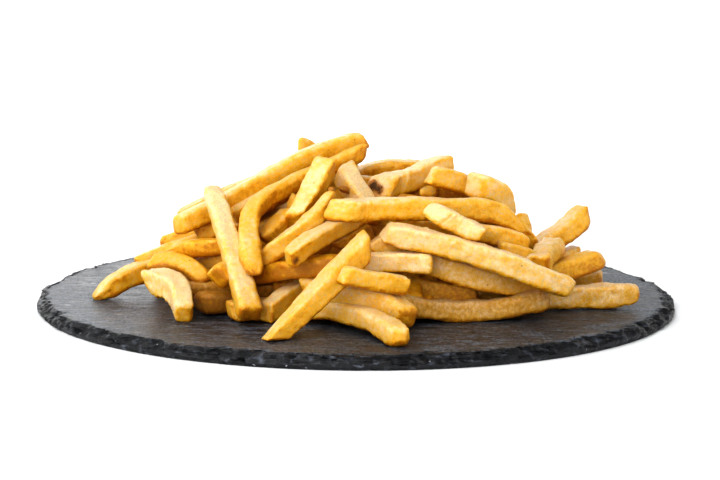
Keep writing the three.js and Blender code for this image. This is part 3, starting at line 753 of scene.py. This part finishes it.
# ---------- fries strewn over the rear ----------
# The rest of the portion, thrown over a mound and each lifted until it rests on what already lies there. The
# rule is the one that lays the solids, so that each fry is where its solid is.
MOUND_CENTRE = (-5, -20)
MOUND_ACROSS = 98
MOUND_FRONT = 72
MOUND_REAR = 96
MOUND_HEIGHT = 58
MOUND_FULLNESS = 2.3
BOARD_THICKNESS = round(BOARD_TOP / MM, 3)
STREWN_TRIES = 330
STREWN_FRONT = -56
STREWN_SIDES = (-96, 102)
STREWN_ASTRAY = 75
STREWN_LENGTH = (46, 82)
STREWN_THICK = (8.6, 10.6)
STREWN_SAG = (-2, 3)
PRESS = 2.4
LIFT_STEP = 1
POKE_OUT = 4
REST_SPACING = 8
CORE_SINK = 22


class Draw:
    """A seeded draw between two numbers, the same one as lays the solids."""

    def __init__(self, seed):
        self.state = seed

    def between(self, low, high):
        self.state = (self.state * 16807) % 2147483647
        return low + ((high - low) * self.state) / 2147483647


def mound_height(x, y):
    across = (x - MOUND_CENTRE[0]) / MOUND_ACROSS
    deep = (y - MOUND_CENTRE[1]) / (MOUND_FRONT if y < MOUND_CENTRE[1] else MOUND_REAR)
    share = min(1, math.hypot(across, deep))
    return BOARD_THICKNESS + MOUND_HEIGHT * (1 - share ** MOUND_FULLNESS)


def mound_place(around, reach, across_share=1, deep_share=1):
    """A place on the mound, at an angle round its centre and a share of the way out to its foot."""
    deep = deep_share * (MOUND_FRONT if math.sin(around) < 0 else MOUND_REAR)
    x = MOUND_CENTRE[0] + across_share * MOUND_ACROSS * reach * math.cos(around)
    return x, MOUND_CENTRE[1] + deep * reach * math.sin(around)


def places_along(path):
    """Places along the straight stretches between a path's points."""
    places = [tuple(path[0])]
    for start, stop in zip(path, path[1:]):
        steps = math.ceil(math.dist(start, stop) / REST_SPACING)
        for step in range(1, steps + 1):
            places.append(tuple(a + (b - a) * (step / steps) for a, b in zip(start, stop)))
    return places


def pressure(thick, path, laid):
    """The depth to which a fry presses into those laid before it."""
    worst = -math.inf
    points = places_along(path)
    for other_thick, rests in laid:
        reach = (thick + other_thick) / 2
        for point in points:
            for near in rests:
                worst = max(worst, reach - math.dist(point, near))
    return worst


def strewn_fry(draw):
    """A fry lying somewhere round the rear of the mound."""
    around = math.radians(draw.between(0, 360))
    reach = math.sqrt(draw.between(0.01, 1.1))
    x, y = mound_place(around, reach)
    heading = around + math.radians(90 + STREWN_ASTRAY * draw.between(-1, 1))
    half = draw.between(*STREWN_LENGTH) / 2
    thick = draw.between(*STREWN_THICK)
    sag = draw.between(*STREWN_SAG)
    path = []
    for side in (-1, 0, 1):
        px = x + side * half * math.cos(heading)
        py = y + side * half * math.sin(heading)
        rise = sag if side == 0 else 0
        path.append([px, py, max(mound_height(px, py) - CORE_SINK, BOARD_THICKNESS) + thick / 2 + rise])
    return thick, path


def strewn_fries():
    """The strewn fries that rest inside the heap's envelope, as thickness and path."""
    draw = Draw(7331)
    laid = [(fry["thick"][0], places_along(fry["path"])) for fry in LAID_FRIES]
    strewn = []
    for _ in range(STREWN_TRIES):
        thick, path = strewn_fry(draw)
        highest = mound_height(path[1][0], path[1][1]) + POKE_OUT
        while path[1][2] < highest and pressure(thick, path, laid) > PRESS:
            for point in path:
                point[2] += LIFT_STEP
        inside = all(y > STREWN_FRONT and STREWN_SIDES[0] < x < STREWN_SIDES[1] for x, y, z in path)
        if path[1][2] < highest and inside:
            laid.append((thick, places_along(path)))
            strewn.append((thick, path))
    return strewn


# ---------- crumb ----------
# A crisp brown scrap of potato that bridges two fries of the crown. It is made as a short thin fry, much
# lumpier than the others.
CRUMB = dict(
    thick=(2.2, 1.6), gold=1.0, brown=0.8, rounding=0.5, lumps=2.8,
    path=[(-12, -58, 61.3), (-8, -54, 61), (-5, -49, 60.4), (-3, -44, 58)])

# All that lies on the outside of the heap; the strewn fries are anything from pale to a little browned.
all_fries = LAID_FRIES + [CRUMB]
colouring = random.Random(5)
for thick, path in strewn_fries():
    gold = colouring.uniform(0.08, 0.6)
    brown = max(0, colouring.uniform(-0.3, 0.45))
    all_fries.append(dict(thick=(thick, thick), path=path, gold=gold, brown=brown))

# ---------- fries inside the heap ----------
# Plain fries packed over the middle of the heap, seen only through the gaps between the outer ones, and a
# rough mass of potato below them that closes the view. Both are painted darker than their own skin, the fries
# deep golden to brown and the mass dark brown to amber, as painted shade in the gaps.
INNER_COUNT = 70
INNER_HALF_LENGTH = (18, 28)
INNER_SINK = 19
CORE_WITHIN = 26  # mm that the core lies inside the mound at the sides and the rear, the front and the top
CORE_WITHIN_FRONT = 20
CORE_WITHIN_TOP = 25
# The core's dark brown to amber colours are painted shade.
CORE_SHADE_COLOURS = ((0.22, 0.07, 0.01, 1), (0.45, 0.18, 0.025, 1))
inner_draw = random.Random(23)
# The inner fries' deep gold and brown are painted shade.
inner_fries = [
    dict(thick=(9, 9), path=[(22, -24, 56.5), (56, -19, 54)], gold=0.9, brown=0.3),
    dict(thick=(8, 8), path=[(46, -33, 43), (76, -29, 37)], gold=0.5, brown=0.1),
]
for _ in range(INNER_COUNT):
    around = inner_draw.uniform(0, math.tau)
    reach = inner_draw.uniform(0.0, 0.8) ** 0.5
    x, y = mound_place(around, reach, 0.92, 0.86)
    heading = around + math.radians(90 + inner_draw.uniform(-80, 80))
    half = inner_draw.uniform(*INNER_HALF_LENGTH)
    inner_path = []
    for side in (-1, 1):
        px = x + side * half * math.cos(heading)
        py = y + side * half * math.sin(heading)
        inner_path.append((px, py, max(mound_height(px, py) - INNER_SINK, REST_LEVEL + 5)))
    inner_fries.append(dict(thick=(9, 9), path=inner_path, gold=1.0, brown=0.35))

core_shape = bmesh.new()
bmesh.ops.create_icosphere(core_shape, subdivisions=5, radius=1)
for vert in core_shape.verts:
    deep = MOUND_FRONT - CORE_WITHIN_FRONT if vert.co.y < 0 else MOUND_REAR - CORE_WITHIN
    x = MOUND_CENTRE[0] + (MOUND_ACROSS - CORE_WITHIN) * vert.co.x
    y = MOUND_CENTRE[1] + deep * vert.co.y
    z = REST_LEVEL + max(0, vert.co.z) * (MOUND_HEIGHT - CORE_WITHIN_TOP) + 3 * noise.noise(vert.co * 9)
    vert.co = Vector((x, y, max(REST_LEVEL, z))) * MM
core_mesh = bpy.data.meshes.new("fries_core")
core_shape.to_mesh(core_mesh)
core_shape.free()

# ---------- fried skin ----------
# Potato fried in oil: cream to golden yellow, mottled, deeper on corners and ends, browned and speckled in
# places, with a thin gloss of oil and light that soaks a little way into the flesh. Faces turned up and to
# the left are painted paler, a painted highlight, and faces turned down are painted deeper golden, painted
# shade.
CREAM = (0.85, 0.575, 0.24, 1)
# The palest cream, reached mostly where the skin faces up: partly pale skin, partly a painted highlight.
PALEST_SKIN_AND_HIGHLIGHT = (0.88, 0.655, 0.37, 1)
STRAW = (0.83, 0.49, 0.075, 1)
GOLDEN = (0.8, 0.42, 0.01, 1)
AMBER = (0.55, 0.22, 0.002, 1)
BROWNED = (0.3, 0.135, 0.015, 1)
SPECK = (0.1, 0.045, 0.015, 1)
SCORCHED = (0.42, 0.15, 0.008, 1)
CHAR = (0.07, 0.034, 0.012, 1)
FLESH_AND_OIL = {
    "Subsurface Weight": 0.3,
    "Subsurface Radius": (1, 0.4, 0.08),
    "Subsurface Scale": 0.004,
    "Specular IOR Level": 0.4,
    "Coat Weight": 0.12,
    "Coat Roughness": 0.28,
}


def fried_skin_group():
    """The group that works out the skin's colour, roughness and height from each fry's attributes."""
    tree = bpy.data.node_groups.new("fried_skin", "ShaderNodeTree")
    for name, low in (("Gold Shift", 0.0), ("Brown Shift", 0.0), ("Mottle", 0.5)):
        socket = tree.interface.new_socket(name, in_out="INPUT", socket_type="NodeSocketFloat")
        socket.default_value = low
    tree.interface.new_socket("Color", in_out="OUTPUT", socket_type="NodeSocketColor")
    for name in ("Roughness", "Height"):
        tree.interface.new_socket(name, in_out="OUTPUT", socket_type="NodeSocketFloat")
    skin = Finish(tree)
    given = skin.add("NodeGroupInput").outputs
    result = skin.add("NodeGroupOutput").inputs
    place = skin.attribute("place", "Vector")
    looks = skin.attribute("looks", "Vector")
    gold, brown, burn = skin.add("ShaderNodeSeparateXYZ", {0: looks}).outputs
    edge = skin.attribute("edge")
    patches = skin.noise(skin.stretched(place, (1, 0.45, 1)), 0.16, 4, 0.6)
    mottle = skin.noise(place, 0.6, 4, 0.65)
    fine = skin.noise(place, 1.4, 4, 0.75)
    wear = skin.noise(place, 0.3, 3, 0.6)
    uneven = 0.0
    for part, weight in ((patches, 0.8), (wear, 0.6), (mottle, 0.65), (fine, 1.2)):
        uneven = skin.math("ADD", uneven, skin.math("MULTIPLY", skin.math("SUBTRACT", part, 0.5), weight))
    uneven = skin.math("MULTIPLY", uneven, given["Mottle"])
    amount = skin.math("ADD", skin.math("ADD", gold, given["Gold Shift"]), uneven)
    # Faces turned up and to the left are painted paler, a painted highlight; faces turned down are painted
    # deeper golden, painted shade, and the golden crust on their corners is painted stronger there, also
    # painted shade.
    painted_lit_facing = skin.attribute("painted_lit_facing")
    rim = skin.math("MULTIPLY", skin.math("POWER", edge, 1.4), skin.span(wear, 0.34, 0.6, 0.1, 0.6))
    amount = skin.math("ADD", amount, skin.math("MULTIPLY", rim, skin.span(painted_lit_facing, 1, 0.3, 0.35, 1)))
    amount = skin.math("ADD", amount, skin.span(painted_lit_facing, 0, 1, 0.4, -0.26), clamp=True)
    colour = skin.ramp(amount, [(0.0, PALEST_SKIN_AND_HIGHLIGHT), (0.2, CREAM), (0.45, STRAW), (0.72, GOLDEN), (1.0, AMBER)])
    grain = skin.span(fine, 0.3, 0.7, 0.7, 1.22)
    grain = skin.math("MULTIPLY", grain, skin.span(mottle, 0.3, 0.7, 0.93, 1.05))
    colour = skin.scaled(colour, grain)
    toast = skin.math("ADD", brown, given["Brown Shift"])
    toast = skin.math("MULTIPLY", toast, skin.span(mottle, 0.36, 0.62, 0.5, 1.0), clamp=True)
    colour = skin.mix(skin.math("MULTIPLY", toast, 0.8), colour, BROWNED)
    speck = skin.span(skin.cells(place, 0.12), 0.05, 0.02)
    speck = skin.math("MULTIPLY", speck, skin.span(wear, 0.44, 0.5))
    colour = skin.mix(skin.math("MULTIPLY", speck, 0.8), colour, SPECK)
    colour = skin.mix(skin.span(burn, 0.02, 0.35, 0, 0.85), colour, SCORCHED)
    ragged = skin.math("MULTIPLY", skin.math("SUBTRACT", skin.noise(place, 2.2, 3, 0.7), 0.5), 2.2)
    ragged = skin.math("ADD", skin.math("ADD", burn, ragged), skin.math("SUBTRACT", mottle, 0.5))
    charred = skin.math("MULTIPLY", skin.span(ragged, 0.34, 0.58, 0, 0.95), skin.span(burn, 0.05, 0.25))
    colour = skin.mix(charred, colour, CHAR)
    skin.feed(result["Color"], colour)
    skin.feed(result["Roughness"], skin.span(skin.math("ADD", fine, mottle), 0.7, 1.3, 0.28, 0.46))
    bubbles = skin.span(skin.cells(place, 0.6, "SMOOTH_F1"), 0.1, 0.7, 1, 0)
    relief = skin.math("ADD", skin.math("MULTIPLY", fine, 0.8), skin.math("MULTIPLY", mottle, 0.35))
    relief = skin.math("ADD", relief, skin.math("MULTIPLY", bubbles, 0.2))
    skin.feed(result["Height"], skin.math("SUBTRACT", relief, skin.math("MULTIPLY", charred, 0.4)))
    return tree


fried_skin = fried_skin_group()


def fried_finish(name, gold_shift, brown_shift, mottle):
    """One kind of skin: the shared group with its own shifts, under oil."""
    material, shader, skin = new_finish(name)
    group = skin.add("ShaderNodeGroup", node_tree=fried_skin)
    for socket, amount in zip(group.inputs, (gold_shift, brown_shift, mottle)):
        socket.default_value = amount
    skin.feed(shader.inputs["Base Color"], group.outputs["Color"])
    skin.feed(shader.inputs["Roughness"], group.outputs["Roughness"])
    for socket, amount in FLESH_AND_OIL.items():
        shader.inputs[socket].default_value = amount
    skin.feed(shader.inputs["Normal"], skin.bump(group.outputs["Height"], 0.8, 0.6 * MM))
    return material


KINDS = {
    "pale_fries": fried_finish("pale_fry_skin", 0.08, 0.0, 0.95),
    "golden_fries": fried_finish("golden_fry_skin", 0.05, 0.0, 1.0),
    "browned_fries": fried_finish("browned_fry_skin", 0.0, 0.05, 1.05),
}


BROWNED_FROM = 0.2
GOLDEN_FROM = 0.36


def kind_of(fry):
    """The kind of skin that a fry belongs to."""
    if fry.get("brown", 0) >= BROWNED_FROM:
        return "browned_fries"
    return "golden_fries" if fry.get("fades") or fry["gold"] >= GOLDEN_FROM else "pale_fries"


# ---------- the heap ----------
# The fries are joined to one piece for each kind of skin. The three pieces stand for the heap's solid, and
# the inner fries and the core lie within it.
batches = {name: Batch(name, FINELY) for name in KINDS}
for fry in all_fries:
    batches[kind_of(fry)].add(fry)
for name, batch in batches.items():
    heap = batch.finished(KINDS[name])
    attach(heap, "root")
    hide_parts("fries_heap")

inner_batch = Batch("inner_fries", COARSELY)
for fry in inner_fries:
    inner_batch.add(fry)
inner = inner_batch.finished(KINDS["browned_fries"])
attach(inner, "root")

# The core's dark colours, painted shade.
core_finish, core_shader, core_kit = new_finish("core_painted_shade")
core_noise = core_kit.noise(core_kit.add("ShaderNodeTexCoord").outputs["Object"], 120, 4)
core_kit.feed(core_shader.inputs["Base Color"], core_kit.mix(core_noise, *CORE_SHADE_COLOURS))
core_shader.inputs["Roughness"].default_value = 0.6
core = finished_object("fries_core", core_mesh, core_finish)
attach(core, "root")
